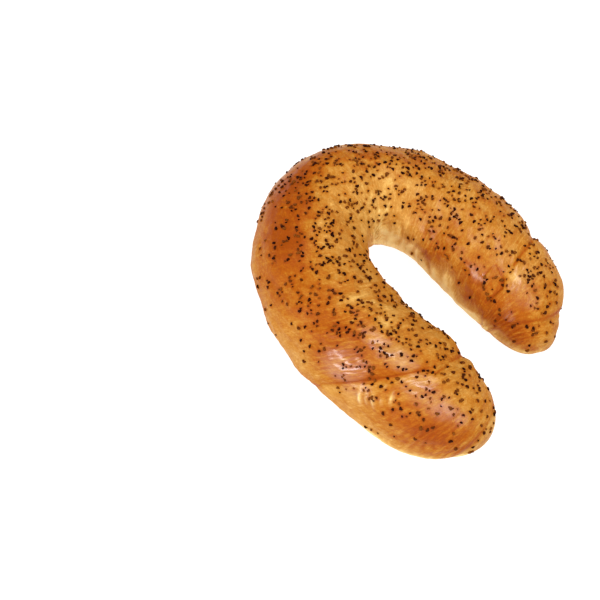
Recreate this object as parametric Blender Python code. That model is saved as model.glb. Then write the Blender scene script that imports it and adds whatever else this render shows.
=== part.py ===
"""Crescent roll: one horseshoe of rolled-up dough with a browned, glazed crust and poppy seeds.

The roll is one solid. Its crust is a tube of sections along a curved centreline that lies on the table,
grooved where the turns of dough end, and the seeds that lie on the crust are joined to it.
Metres, +Z up. Both arms point along -Y, arm A at -X and the shorter arm B at +X. The origin is on the
table, under the middle of the roll.
"""

import math
import random
from typing import NamedTuple

import bpy
from mathutils import Matrix, Vector

NAME = "crescent_roll"

# Centreline: lengths along it run from the top of the bend, negative on arm A and positive on arm B.
ARM_A = 0.141
ARM_B = 0.124
BEND = 0.057  # length over which each side of the bend takes its turn
BEND_BIAS = 1.07  # how much longer than this it is towards arm A, and shorter towards arm B
BEND_BLEND = 0.016
BEND_EASE = 2.4  # 1 turns more and more gently towards the arms, 4 or more turns like an arc
HALF_TURN = math.radians(110)
HOOK_A = math.radians(20)  # how far the outer part of each arm curls inwards as well
HOOK_B = math.radians(10)
HOOK_START = 0.6
CENTRELINE_STEP = 0.0005

# Section: half its width at fractions of the arms' lengths, from the end of arm A to the end of arm B.
HALF_WIDTHS = (
    (-1.0, 0.0205),
    (-0.82, 0.0235),
    (-0.56, 0.0249),
    (-0.28, 0.0243),
    (0.0, 0.0240),
    (0.28, 0.0222),
    (0.56, 0.0228),
    (0.82, 0.0204),
    (1.0, 0.0176),
)
HEIGHT_TO_WIDTH = 0.83
WIDEST_AT = 0.44  # height of the widest level over the section's height
UNDERSIDE_DROP = 1.15  # above 1 the underside is cut flat where it rests on the baking tray
UNDERSIDE_FULLNESS = 0.8

# Rounded ends of the arms: their length, how full they are, and how far they lift off the tray.
END_A = 0.0365
END_B = 0.0462
END_FULLNESS_A = 2.1
END_FULLNESS_B = 2.6
END_LIFT_A = 0.48
END_LIFT_B = 0.38

# Relief stays off the flat underside: none at this share of the height, all of it at the next.
RELIEF_FROM = 0.03
RELIEF_FULL = 0.3
GROOVE_CORE = 0.0017  # width of a groove's sharp bottom, and of its rounded shoulders
GROOVE_SHOULDER = 0.0065
STEP_FADE = 0.014

# Grid of the crust
SIDES = 24
CROWDING = 0.55  # how much closer the rings lie beside a groove

# Poppy seeds, joined to the crust
SEEDS = 235
SEED_LENGTH = 0.0012
SEED_WIDTH = 0.0010
SEED_HEIGHT = 0.0009
SEED_SUNK = 0.3
SEED_GAP = 0.0022
SEED_STEEPNESS = 1.5  # how quickly the seeds thin out as the crust turns away from the sky
SEED_STRAYS = 0.1  # share that still lies on the steep sides
SEED_LOWEST = -0.3  # height of the crust's outward direction below which none lies
SEED_ARC = (math.radians(-40), math.radians(220))
SEED_DRAW = 41  # number that the random draws start from
LARGEST_AREA = 0.07  # no patch of the crust covers more than this for its step
SEED_END_GAP = 0.002

CRUST_BROWN = (0.50, 0.20, 0.035, 1.0)
CRUST_ROUGHNESS = 0.4


class Wrap(NamedTuple):
    """The edge of one turn of dough: a groove round the roll, in a plane that leans across it."""

    at: float  # where it crosses the two sides, if it doesn't lean
    lean: float  # how much further along it is on the outer side
    bow: float  # how much further along it is on the crown
    depth: float
    step: float  # how far the dough on its far side, towards the end of the arm, stands back
    rings_before: int  # rings of the grid between the guide before it and this one


GUIDES = (
    Wrap(-ARM_A, 0.0, 0.0, 0.0, 0.0, 0),
    Wrap(-0.1298, 0.0021, -0.0096, 0.0007, 0.0005, 5),
    Wrap(-0.0964, 0.0152, -0.0130, 0.0017, 0.0003, 10),
    Wrap(0.0, 0.0, 0.0, 0.0, 0.0, 20),
    Wrap(0.0907, -0.0133, 0.0003, 0.0015, -0.0006, 18),
    Wrap(0.1095, 0.0002, 0.0068, 0.0008, 0.0013, 6),
    Wrap(ARM_B, 0.0, 0.0, 0.0, 0.0, 7),
)


def clamp(value, low=0.0, high=1.0):
    return max(low, min(high, value))


def ease(value, low, high):
    """0 below low, 1 above high, smooth between."""
    t = clamp((value - low) / (high - low))
    return t * t * (3 - 2 * t)


def through(stations, x):
    """A smooth curve through the (x, y) pairs of stations."""
    last = len(stations) - 1
    i = next((k for k in range(last) if x <= stations[k + 1][0]), last - 1)

    def slope(k):
        a, b = stations[max(k - 1, 0)], stations[min(k + 1, last)]
        return (b[1] - a[1]) / (b[0] - a[0])

    (x0, y0), (x1, y1) = stations[i], stations[i + 1]
    t = clamp((x - x0) / (x1 - x0))
    pull = (x1 - x0) * (slope(i) * t * (1 - t) ** 2 - slope(i + 1) * t * t * (1 - t))
    return y0 + (y1 - y0) * t * t * (3 - 2 * t) + pull


def heading(s):
    """Direction of the centreline at s, clockwise from +X."""
    arm, hook = (ARM_A, -HOOK_A) if s < 0 else (ARM_B, HOOK_B)
    x = s / (BEND * BEND_BIAS ** -math.tanh(s / BEND_BLEND))
    turned = HALF_TURN * x / (1 + abs(x) ** BEND_EASE) ** (1 / BEND_EASE)
    outer = clamp((abs(s) / arm - HOOK_START) / (1 - HOOK_START))
    return turned + hook * outer**2


def walk_centreline():
    """Points of the centreline, a small step apart, keyed by the number of steps from the bend's top."""
    points = {0: (0.0, 0.0)}
    for way, arm in ((-1, ARM_A), (1, ARM_B)):
        x = y = 0.0
        for k in range(int(arm / CENTRELINE_STEP) + 2):
            angle = heading(way * (k + 0.5) * CENTRELINE_STEP)
            x += way * CENTRELINE_STEP * math.cos(angle)
            y -= way * CENTRELINE_STEP * math.sin(angle)
            points[way * (k + 1)] = (x, y)
    return points


CENTRELINE = walk_centreline()


def centre(s):
    """The centreline's point at s."""
    k = math.floor(s / CENTRELINE_STEP)
    t = s / CENTRELINE_STEP - k
    (x0, y0), (x1, y1) = CENTRELINE[k], CENTRELINE[k + 1]
    return x0 + (x1 - x0) * t, y0 + (y1 - y0) * t


def rounding(s):
    """1 along the arms, falling to 0 at their ends."""
    arm, end, fullness = (ARM_A, END_A, END_FULLNESS_A) if s < 0 else (ARM_B, END_B, END_FULLNESS_B)
    q = clamp((abs(s) - (arm - end)) / end)
    return (1 - q**fullness) ** (1 / fullness)


def line_at(line, a):
    """Where a guide, or a ring of the grid, crosses the section at angle a."""
    at, lean, bow = line[:3]
    return at + lean * math.cos(a) + bow * math.sin(a)


def relief(s, a):
    """How far the crust stands out at s and section angle a: grooves, and steps beside them."""
    out = 0.0
    for guide in GUIDES:
        if guide.depth:
            d = s - line_at(guide, a)
            if guide.at < 0:
                d = -d
            core = 0.6 * math.exp(-abs(d) / GROOVE_CORE)
            shoulder = 0.4 * math.exp(-((d / GROOVE_SHOULDER) ** 2))
            out -= guide.depth * (core + shoulder)
            out -= guide.step * math.exp(-abs(d) / STEP_FADE) * ease(d, -0.0005, 0.0015)
    return out


def crust_point(s, a):
    """A point of the crust. a is 0 on the outer side, a quarter turn on the crown, half on the inner."""
    arm = ARM_A if s < 0 else ARM_B
    full = through(HALF_WIDTHS, s / arm)
    shrink = rounding(s)
    half_width = full * shrink
    height = 2 * half_width * HEIGHT_TO_WIDTH
    middle = WIDEST_AT * height
    across = half_width * math.cos(a)
    rise = math.sin(a)
    if rise > 0:
        up = middle + (height - middle) * rise
    else:
        up = max(0.0, middle * (1 - UNDERSIDE_DROP * abs(rise) ** UNDERSIDE_FULLNESS))
    if height:
        share = relief(s, a) * ease(up / height, RELIEF_FROM, RELIEF_FULL) * shrink
        across += share * math.cos(a)
        up += share * rise
    end_lift = END_LIFT_A if s < 0 else END_LIFT_B
    lift = (1 - shrink) * end_lift * 2 * full * HEIGHT_TO_WIDTH
    x, y = centre(s)
    angle = heading(s)
    return Vector((x + across * math.sin(angle), y + across * math.cos(angle), up + lift))


def ring_lines():
    """Where the rings of the grid run: along the guides, and leaning from one guide to the next."""
    rings = []
    for before, after in zip(GUIDES, GUIDES[1:]):
        for k in range(after.rings_before):
            t = k / after.rings_before
            t -= CROWDING * math.sin(2 * math.pi * t) / (2 * math.pi)
            rings.append([p + (q - p) * t for p, q in zip(before[:3], after[:3])])
    return rings[1:]


def crust_mesh():
    """The crust as rings of points joined by quads, with a point at the end of each arm."""
    angles = [2 * math.pi * (k + 0.5) / SIDES for k in range(SIDES)]
    rings = ring_lines()
    points = [crust_point(-ARM_A, 0.0), crust_point(ARM_B, 0.0)]
    for ring in rings:
        points += [crust_point(line_at(ring, a), a) for a in angles]

    def at(i, k):
        return 2 + i * SIDES + k % SIDES

    faces = []
    for k in range(SIDES):
        faces.append((0, at(0, k), at(0, k + 1)))
        faces.append((1, at(len(rings) - 1, k + 1), at(len(rings) - 1, k)))
        for i in range(len(rings) - 1):
            faces.append((at(i, k), at(i + 1, k), at(i + 1, k + 1), at(i, k + 1)))
    mesh = bpy.data.meshes.new(NAME)
    mesh.from_pydata(points, [], faces)
    mesh.validate()
    return mesh


def crust_patch(s, a):
    """The crust's outward direction, and how much area a step along s and a covers."""
    ds, da = 0.0006, 0.02
    along = crust_point(s + ds, a) - crust_point(s - ds, a)
    around = crust_point(s, a + da) - crust_point(s, a - da)
    across = around.cross(along)
    return across.normalized(), across.length / (4 * ds * da)


def seed_places(crust):
    """Where the seeds lie: thick where the crust faces the sky, sparse down the sides."""
    draw = random.Random(SEED_DRAW)
    places = []
    while len(places) < SEEDS:
        s = draw.uniform(-ARM_A + SEED_END_GAP, ARM_B - SEED_END_GAP)
        a = draw.uniform(*SEED_ARC)
        chance, turn = draw.random(), draw.uniform(0, math.pi)
        normal, area = crust_patch(s, a)
        wanted = max(SEED_STRAYS, max(0.0, normal.z) ** SEED_STEEPNESS)
        if normal.z < SEED_LOWEST or chance > wanted * area / LARGEST_AREA:
            continue
        _, point, _, _ = crust.closest_point_on_mesh(crust_point(s, a))
        if all((point - other).length > SEED_GAP for other, _, _ in places):
            places.append((point, normal, turn))
    return places


def make_seeds(places):
    """One small rounded solid for each seed, in a collection of its own."""
    seeds = bpy.data.collections.new("seeds")
    bpy.context.scene.collection.children.link(seeds)
    size = Matrix.Diagonal((SEED_LENGTH / 2, SEED_WIDTH / 2, SEED_HEIGHT / 2, 1))
    for k, (point, normal, turn) in enumerate(places):
        bpy.ops.mesh.primitive_ico_sphere_add(subdivisions=1, radius=1)
        seed = bpy.context.object
        seed.name = f"seed_{k}"
        stand = normal.to_track_quat("Z", "Y").to_matrix().to_4x4()
        rise = Matrix.Translation(point + normal * SEED_HEIGHT * (0.5 - SEED_SUNK))
        seed.data.transform(rise @ stand @ Matrix.Rotation(turn, 4, "Z") @ size)
        for other in list(seed.users_collection):
            other.objects.unlink(seed)
        seeds.objects.link(seed)
    return seeds


def join_seeds(crust, seeds):
    """Makes the crust and the seeds one closed solid, and removes the loose seeds."""
    union = crust.modifiers.new("seeds", "BOOLEAN")
    union.operation = "UNION"
    union.operand_type = "COLLECTION"
    union.collection = seeds
    union.solver = "EXACT"
    bpy.context.view_layer.objects.active = crust
    bpy.ops.object.modifier_apply(modifier=union.name)
    for seed in list(seeds.objects):
        bpy.data.objects.remove(seed, do_unlink=True)
    bpy.data.collections.remove(seeds)


def stand_on_origin(roll):
    """Moves the mesh so that the origin is on the table under the middle of the roll."""
    low = Vector(min(v.co[i] for v in roll.data.vertices) for i in range(3))
    high = Vector(max(v.co[i] for v in roll.data.vertices) for i in range(3))
    roll.data.transform(Matrix.Translation((-(low.x + high.x) / 2, -(low.y + high.y) / 2, -low.z)))


def crust_material():
    material = bpy.data.materials.new("glazed_crust")
    material.use_nodes = True
    shader = material.node_tree.nodes["Principled BSDF"]
    shader.inputs["Base Color"].default_value = CRUST_BROWN
    shader.inputs["Roughness"].default_value = CRUST_ROUGHNESS
    shader.inputs["Metallic"].default_value = 0.0
    return material


def main():
    for old in list(bpy.data.objects):
        bpy.data.objects.remove(old, do_unlink=True)
    roll = bpy.data.objects.new(NAME, crust_mesh())
    bpy.context.scene.collection.objects.link(roll)
    join_seeds(roll, make_seeds(seed_places(roll)))
    stand_on_origin(roll)
    roll.data.materials.clear()
    roll.data.materials.append(crust_material())
    roll.data.shade_smooth()


main()
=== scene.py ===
# %% [markdown]
# # A crescent roll with poppy seeds
#
# The real roll is a strip of soft dough, rolled up from its wide end, bent into a horseshoe, brushed with
# egg, strewn with poppy seeds and baked on a tray. Four things make it look like itself:
#
# - the horseshoe, thick in the middle, with a flat underside where it lay on the tray;
# - the creases where the turns of dough end, and the wrinkles beside them;
# - the glazed crust: dark where it faced the heat, pale down in the folds and along the tray;
# - more than a thousand seeds, thick on top and sparse down the sides.
#
# Two numbers name every place on the roll. `s` runs along its middle line from the top of the bend, negative
# on arm A and positive on arm B. `a` runs round it: 0 on the outer side, a quarter turn on the crown, half
# a turn on the inner side. Lengths are in metres and +Z is up.
#
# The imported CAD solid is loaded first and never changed. The crust and the seeds that are made here take its
# place in the picture, in the same frame and at the same size.

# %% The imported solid, which gives the roll's size and place
import math
from typing import NamedTuple

import bpy
import numpy as np
from mathutils import Matrix, Vector
from mathutils.kdtree import KDTree


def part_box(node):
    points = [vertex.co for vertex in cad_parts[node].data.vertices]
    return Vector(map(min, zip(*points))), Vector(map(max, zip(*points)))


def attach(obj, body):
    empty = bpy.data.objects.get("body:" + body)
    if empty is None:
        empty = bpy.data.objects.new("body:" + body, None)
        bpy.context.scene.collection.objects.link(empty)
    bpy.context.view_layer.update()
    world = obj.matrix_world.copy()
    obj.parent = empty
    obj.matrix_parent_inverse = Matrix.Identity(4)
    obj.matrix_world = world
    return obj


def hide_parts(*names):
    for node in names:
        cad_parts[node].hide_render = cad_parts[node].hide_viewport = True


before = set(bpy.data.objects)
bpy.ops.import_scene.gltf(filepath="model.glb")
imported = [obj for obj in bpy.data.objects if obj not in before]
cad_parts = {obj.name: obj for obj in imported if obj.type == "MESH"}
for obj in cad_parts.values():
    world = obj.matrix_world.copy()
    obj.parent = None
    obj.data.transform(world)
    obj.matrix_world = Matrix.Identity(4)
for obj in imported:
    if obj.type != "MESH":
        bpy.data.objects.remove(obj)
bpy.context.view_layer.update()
NODE = "crescent_roll"
cad_low, cad_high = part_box(NODE)
cad_size = cad_high - cad_low
print(f"the packed roll is {cad_size.x * 1000:.1f} x {cad_size.y * 1000:.1f} x {cad_size.z * 1000:.1f} mm")

# %% [markdown]
# ## The camera
#
# A camera is a place, a direction and a lens. It could be placed by hand until the picture looks right. Here
# it comes from a fit of the roll's outline, so it is written as the angles of a camera on an arm that turns
# about a point inside the roll: how high it stands, how far round it has gone, and how far it leans sideways.
# The lights of the studio will be aimed with the same helper.

# %% Aiming at a point
def turned_frame(round_, height, lean):
    """Right, up and back directions of something that looks at a point from this direction."""
    reach = math.cos(height)
    back = Vector((math.sin(round_) * reach, -math.cos(round_) * reach, math.sin(height)))
    right = Vector((math.cos(round_), math.sin(round_), 0))
    up = back.cross(right)
    leaning_right = math.cos(lean) * right + math.sin(lean) * up
    leaning_up = math.cos(lean) * up - math.sin(lean) * right
    return leaning_right, leaning_up, back


def looking_at(point, distance, round_, height, lean=0.0):
    """The matrix of an object that looks at a point along its own -Z, as cameras and lights do."""
    right, up, back = turned_frame(round_, height, lean)
    turn = Matrix((right, up, back)).transposed().to_4x4()
    return Matrix.Translation(point + back * distance) @ turn


def in_scene(name, data):
    """A new object with this data, linked to the scene."""
    made = bpy.data.objects.new(name, data)
    bpy.context.scene.collection.objects.link(made)
    return made


# %% Camera
PICTURE_WIDTH = 600  # pixels
FOCAL_LENGTH = 992  # in the same pixels
SENSOR_WIDTH = 36  # millimetres
CAMERA_HEIGHT = math.radians(59)
CAMERA_ROUND = math.radians(-43.95)  # from in front of the arms' ends, to the left
CAMERA_LEAN = math.radians(5.14)
CAMERA_DISTANCE = 0.4029
CAMERA_AIM = Vector((-0.0418, 0.0185, 0.0216))
NEAREST_SEEN = 0.01

camera = in_scene("camera", bpy.data.cameras.new("camera"))
bpy.context.scene.camera = camera
camera.data.sensor_width = SENSOR_WIDTH
camera.data.lens = SENSOR_WIDTH * FOCAL_LENGTH / PICTURE_WIDTH
camera.data.clip_start = NEAREST_SEEN
camera.matrix_world = looking_at(CAMERA_AIM, CAMERA_DISTANCE, CAMERA_ROUND, CAMERA_HEIGHT, CAMERA_LEAN)
print(f"the lens is {camera.data.lens:.1f} mm, {CAMERA_DISTANCE * 1000:.0f} mm from the roll")

# %% [markdown]
# ## The middle line
#
# The roll could be modelled on a Bezier curve with a bevel, but its bend follows a simple rule: the direction
# turns evenly round the bend and less and less along the arms, whose ends hook inwards a little. So the line
# is walked in half-millimetre steps, each one going where the rule points. NumPy does all steps at once: it
# works out every step's direction, then adds the steps up.

# %% Direction of the middle line
ARM_A = 0.141
ARM_B = 0.124
BEND = 0.057  # length over which each side of the bend takes its turn
BEND_BIAS = 1.07  # how much longer than this it is towards arm A, and shorter towards arm B
BEND_BLEND = 0.016
BEND_EASE = 2.4  # 1 turns more and more gently towards the arms, 4 or more turns like an arc
HALF_TURN = math.radians(110)
HOOK_A = math.radians(20)  # how far the outer part of each arm curls inwards as well
HOOK_B = math.radians(10)
HOOK_START = 0.6  # share of the arm's length


def heading(s):
    """Direction of the middle line at s, clockwise from +X."""
    x = s / (BEND * BEND_BIAS ** -np.tanh(s / BEND_BLEND))
    turned = HALF_TURN * x / (1 + np.abs(x) ** BEND_EASE) ** (1 / BEND_EASE)
    arm = np.where(s < 0, ARM_A, ARM_B)
    hook = np.where(s < 0, -HOOK_A, HOOK_B)
    outer = np.clip((np.abs(s) / arm - HOOK_START) / (1 - HOOK_START), 0, 1)
    return turned + hook * outer**2


turns = np.degrees(heading(np.array([-ARM_A, ARM_B])))
print(f"from end to end the line turns {turns[1] - turns[0]:.0f} degrees")

# %% Walk along the middle line
LINE_STEP = 0.0005


def walk(first, last):
    """s, x and y of the points of the middle line, with the bend's top at 0, 0."""
    s = np.arange(math.floor(first / LINE_STEP), math.ceil(last / LINE_STEP) + 1) * LINE_STEP
    turn = heading((s[:-1] + s[1:]) / 2)
    x = np.concatenate([[0], np.cumsum(np.cos(turn))]) * LINE_STEP
    y = np.concatenate([[0], -np.cumsum(np.sin(turn))]) * LINE_STEP
    return s, x - np.interp(0, s, x), y - np.interp(0, s, y)


LINE_S, LINE_X, LINE_Y = walk(-ARM_A, ARM_B)
print(f"the middle line is {(ARM_A + ARM_B) * 1000:.0f} mm long, in {len(LINE_S)} points")

# %% [markdown]
# ## The section
#
# Cut across, the roll is a flattened round: widest below its middle, with a flat underside. Its width follows
# a smooth curve through a few measured places along the arms. A chain of modelled segments would show where
# they meet, so one formula gives the section everywhere, and its size comes from that curve. The curve is
# made of cubic pieces, and each place's slope is the slope between its two neighbours.

# %% Width along the roll
HALF_WIDTHS = (  # at fractions of the arms' lengths, from the end of arm A to the end of arm B
    (-1.0, 0.0222),
    (-0.82, 0.0235),
    (-0.56, 0.0249),
    (-0.28, 0.0243),
    (0.0, 0.0240),
    (0.28, 0.0222),
    (0.56, 0.0228),
    (0.82, 0.0204),
    (1.0, 0.0176),
)
HEIGHT_TO_WIDTH = 0.83
WIDEST_AT = 0.44  # height of the widest level over the section's height
UNDERSIDE_DROP = 1.15  # above 1 the underside is cut flat where it rests on the baking tray
UNDERSIDE_FULLNESS = 0.8


def through(stations, x):
    """A smooth curve through the (x, y) pairs of stations."""
    xs, ys = np.array(stations).T
    last = len(xs) - 1
    before = np.maximum(np.arange(last + 1) - 1, 0)
    after = np.minimum(np.arange(last + 1) + 1, last)
    slopes = (ys[after] - ys[before]) / (xs[after] - xs[before])
    i = np.clip(np.searchsorted(xs, x) - 1, 0, last - 1)
    wide = xs[i + 1] - xs[i]
    t = np.clip((x - xs[i]) / wide, 0, 1)
    pull = wide * (slopes[i] * t * (1 - t) ** 2 - slopes[i + 1] * t * t * (1 - t))
    return ys[i] + (ys[i + 1] - ys[i]) * t * t * (3 - 2 * t) + pull


def half_width(s):
    """Half the roll's width at s, before the rounding of its ends."""
    return through(HALF_WIDTHS, s / np.where(s < 0, ARM_A, ARM_B))


print(f"the bend is {2000 * half_width(np.array([0.0]))[0]:.0f} mm wide")

# %% [markdown]
# ## The ends
#
# The dough's last turn closes each end in a blunt dome that lifts off the tray a little. A dome could be a
# half sphere, but the real ones are longer than they are wide and nearly as full as a box, so each follows a
# superellipse, in which the power says how full it is.

# %% Rounded ends
END_A = 0.0365  # length of the rounded ends
END_B = 0.0462
END_FULLNESS_A = 2.1  # 2 is an ellipse, more is fuller
END_FULLNESS_B = 2.6
END_LIFT_A = 0.48  # how high the tips lie off the tray, over the roll's full height
END_LIFT_B = 0.38


def rounding(s):
    """1 along the arms, falling to 0 at their ends."""
    arm = np.where(s < 0, ARM_A, ARM_B)
    end = np.where(s < 0, END_A, END_B)
    fullness = np.where(s < 0, END_FULLNESS_A, END_FULLNESS_B)
    q = np.clip((np.abs(s) - (arm - end)) / end, 0, 1)
    return (1 - q**fullness) ** (1 / fullness)


print(f"the ends are rounded over {END_A * 1000:.0f} and {END_B * 1000:.0f} mm")

# %% [markdown]
# ## Creases
#
# Each turn of the rolled-up dough ends in an edge that winds across the roll, and the crust dips there. A
# crease lies in a plane that leans across the roll, so where it crosses the section at angle `a` is one line
# of trigonometry. The mesh's rings will follow the same planes: an edge loop along a crease draws it sharply,
# where a grid that crossed it would show a saw edge.

# %% Creases
class Wrap(NamedTuple):
    """The edge of one turn of dough: a groove round the roll, in a plane that leans across it."""

    at: float  # where it crosses the two sides, if it doesn't lean
    lean: float  # how much further along it is on the outer side
    bow: float  # how much further along it is on the crown
    depth: float
    step: float  # how far the dough on its far side, towards the end of the arm, stands back
    rings_before: int  # from the guide before it to this one the grid has RINGS_FACTOR times as many rings


GUIDES = (
    Wrap(-ARM_A, 0.0, 0.0, 0.0, 0.0, 0),
    Wrap(-0.1330, 0.0010, -0.0048, 0.0008, 0.0010, 5),
    Wrap(-0.0964, 0.0152, -0.0130, 0.0014, 0.0007, 10),
    Wrap(0.0, 0.0, 0.0, 0.0, 0.0, 20),
    Wrap(0.0925, -0.0105, 0.0003, 0.0008, -0.0006, 18),
    Wrap(0.1095, 0.0002, 0.0068, 0.0013, 0.0020, 6),
    Wrap(ARM_B, 0.0, 0.0, 0.0, 0.0, 7),
)
RIM_A, WRAP_A, WRAP_B, LIP_B = GUIDES[1], GUIDES[2], GUIDES[4], GUIDES[5]
CREASES = (RIM_A, WRAP_A, WRAP_B, LIP_B)


def line_at(line, a):
    """Where a guide, or a ring of the grid, crosses the section at angle a."""
    at, lean, bow = line[:3]
    return at + lean * np.cos(a) + bow * np.sin(a)


def past(wrap, s, a):
    """How far a place lies beyond a wrap's edge, towards the end of its arm."""
    return (s - line_at(wrap, a)) * (-1 if wrap.at < 0 else 1)


def ease(value, low, high):
    """0 below low, 1 above high, smooth between."""
    t = np.clip((value - low) / (high - low), 0, 1)
    return t * t * (3 - 2 * t)


print(f"{len(CREASES)} creases, up to {max(wrap.depth for wrap in CREASES) * 1000:.1f} mm deep")

# %% [markdown]
# ## Soft places
#
# A hand-made roll is never even. Most of what makes this one itself happens in soft-edged places on the
# crust: a swelling here, a browner patch there, a fan of wrinkles beside a crease. All of them use one kind
# of mask, an ellipse laid on the crust that fades out like a bell curve. It may be turned, so that a streak
# can run along the roll, across it or slantwise.

# %% Soft places
GIRTH = 0.0225  # one radian round the roll is about this long


class Place(NamedTuple):
    """A soft ellipse on the crust."""

    at: float  # millimetres along the roll
    around: float  # degrees round it
    length: float  # half its length and half its width, in millimetres
    width: float
    turn: float  # of its length, in degrees from along the roll towards the inner side
    amount: float
    edge: float = 1.0  # above 1 the border is sharper


def across_place(place, s, a):
    """How far from the middle of a place this is, along its length and its width, in metres."""
    along = s - place.at / 1000
    turn_round = a - math.radians(place.around)
    around = GIRTH * np.arctan2(np.sin(turn_round), np.cos(turn_round))
    turn = math.radians(place.turn)
    u = along * math.cos(turn) + around * math.sin(turn)
    v = around * math.cos(turn) - along * math.sin(turn)
    return u, v


def mask(place, s, a):
    """1 in the middle of a place and 0 outside it."""
    u, v = across_place(place, s, a)
    far = (u * 1000 / place.length) ** 2 + (v * 1000 / place.width) ** 2
    return np.exp(-(far**place.edge))


def sum_of(places, s, a):
    """The places' amounts, added up where they overlap."""
    return sum(place.amount * mask(place, s, a) for place in places)


print(f"at the border of a place, {math.exp(-1):.0%} of its amount is left")

# %% [markdown]
# ## Depth of the creases
#
# A crease isn't equally deep all the way round. It is pinched where the dough was pulled tight and nearly
# vanishes where two turns baked together, so soft places say where the creases are shallow: the amount is the
# share of the depth that is missing there.

# %% Shallow stretches
SHALLOW = (
    Place(-114, 108, 9, 12, 90, 0.65),
    Place(92, 100, 9, 22, 90, 0.90),
    Place(112, 160, 5, 14, 90, 0.60),
    Place(102, 158, 7, 12, 90, 0.70),
    Place(82, -8, 14, 9, 90, 0.60),
    Place(87, 70, 6, 9, 90, 0.80),
    Place(-139, 100, 8, 14, 90, 0.50),
    Place(-84, -12, 12, 9, 90, 0.60),
)


def crease_strength(s, a):
    """The share of its full depth that a crease has here."""
    return 1 - sum_of(SHALLOW, s, a)


print(f"the creases are shallow in {len(SHALLOW)} places")

# %% [markdown]
# ## Hairline cracks
#
# A few hairline cracks in the glaze run from crease to crease. They could be drawn in a texture, but a crack
# is a real groove that catches the light. Each is a short chain of points, and its groove follows the
# distance to the nearest stretch of the chain.

# %% Cracks
CRACKS = (  # each a chain of (millimetres along, degrees round)
    ((88, 58), (91, 80), (94, 97)),
    ((90.5, 131), (90, 114), (97, 116), (100, 124), (100, 150)),
    ((-111, 89), (-113, 92), (-115, 109)),
)
CRACK_WIDTH = 0.0005
CRACK_DEPTH = 0.0005


def near_cracks(s, a):
    """1 on a hairline crack, 0 away from it."""
    nearest = np.full_like(s, 1.0)
    for chain in CRACKS:
        corners = [np.array([x / 1000, GIRTH * math.radians(y)]) for x, y in chain]
        for first, last in zip(corners, corners[1:]):
            way = last - first
            place = np.stack([s, GIRTH * a], axis=1) - first
            t = np.clip(place @ way / (way @ way), 0, 1)
            nearest = np.minimum(nearest, np.linalg.norm(place - t[:, None] * way, axis=1))
    return np.exp(-((nearest / CRACK_WIDTH) ** 2))


print(f"{len(CRACKS)} cracks, {CRACK_DEPTH * 1000:.1f} mm deep")

# %% [markdown]
# ## The profile of a crease
#
# Seen from the side, a crease is three things at once: a narrow cut, soft shoulders where the dough rounds
# down into it, and a step, because the turn that ends there lies on top of the next. Each is one bump or ramp
# of the distance from the edge, and they are added. Wrap A's edge also stands proud, as a rolled fold.

# %% Profile of a crease
GROOVE_CORE = 0.0010  # width of a groove's sharp bottom, and of its rounded shoulders
GROOVE_SHOULDER = 0.0050
CORE_SHARE = 0.6  # share of the depth that the sharp bottom takes
STEP_START = -0.0005  # the step rises between these two distances past the edge, then fades along the arm
STEP_END = 0.0015
STEP_FADE = 0.014
FOLD_BACK = 0.0085  # the rolled fold is highest this far before wrap A's groove
FOLD_HEIGHT = 0.0007
FOLD_NARROWNESS = 2.0


def creases(s, a):
    """How far the crust stands out, with its grooves, the steps beside them and the cracks."""
    out = -CRACK_DEPTH * near_cracks(s, a)
    strength = crease_strength(s, a)
    for wrap in CREASES:
        d = past(wrap, s, a)
        core = CORE_SHARE * np.exp(-np.abs(d) / GROOVE_CORE)
        shoulder = (1 - CORE_SHARE) * np.exp(-((d / GROOVE_SHOULDER) ** 2))
        out -= wrap.depth * strength * (core + shoulder)
        out -= wrap.step * strength * np.exp(-np.abs(d) / STEP_FADE) * ease(d, STEP_START, STEP_END)
    before = past(WRAP_A, s, a) / FOLD_BACK + 1
    return out + FOLD_HEIGHT * strength * np.exp(-FOLD_NARROWNESS * before**2)


crown = np.array([math.pi / 2])
crown_depth = -creases(line_at(WRAP_A, crown), crown)[0]
print(f"on the crown wrap A is {crown_depth * 1000:.1f} mm deep")

# %% [markdown]
# ## Unevenness
#
# Nature's unevenness has no list of places. It could come from a noise function, but a sum of a few dozen
# sine waves, in random directions and with random starts, is as smooth, runs on the whole array at once, and
# always gives the same result for the same draw.

# %% Unevenness
WAVES = 28
SHORTEST_WAVE = 1.4  # over the size of the bumps
LONGEST_WAVE = 3.0
WAVES_SPREAD = 1.6  # the waves' sum seldom goes beyond this many times its usual size


class Uneven(NamedTuple):
    """One kind of unevenness."""

    size: float  # of its bumps, in metres
    amount: float  # its values seldom go further than this from 0
    draw: int  # another draw gives another pattern


def unevenness(points, kind):
    """A smooth random value for each point."""
    random = np.random.default_rng(kind.draw)
    directions = random.normal(size=(WAVES, 3))
    directions /= np.linalg.norm(directions, axis=1, keepdims=True)
    lengths = kind.size * random.uniform(SHORTEST_WAVE, LONGEST_WAVE, WAVES)
    starts = random.uniform(0, 2 * math.pi, WAVES)
    phases = points @ (directions / lengths[:, None] * 2 * math.pi).T + starts
    return kind.amount * (np.sin(phases).sum(axis=1) / math.sqrt(WAVES / 2) / WAVES_SPREAD)


trial_line = np.linspace((0.0, 0.0, 0.0), (1.0, 0.0, 0.0), 1000)
trial = unevenness(trial_line, Uneven(0.01, 1.0, 0))
print(f"on a trial line, {(np.abs(trial) < 1).mean():.0%} of the values stay within the amount")

# %% [markdown]
# ## Swellings and puckers
#
# Between the creases the dough swells, and beside some of them it is pulled in. Sculpting would do, but a
# list of soft places can be read and changed. Their amounts are millimetres outwards. The puckers are much
# smaller: short ridges of skin that stretched when wrap A's edge rose over it in the oven.

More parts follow.
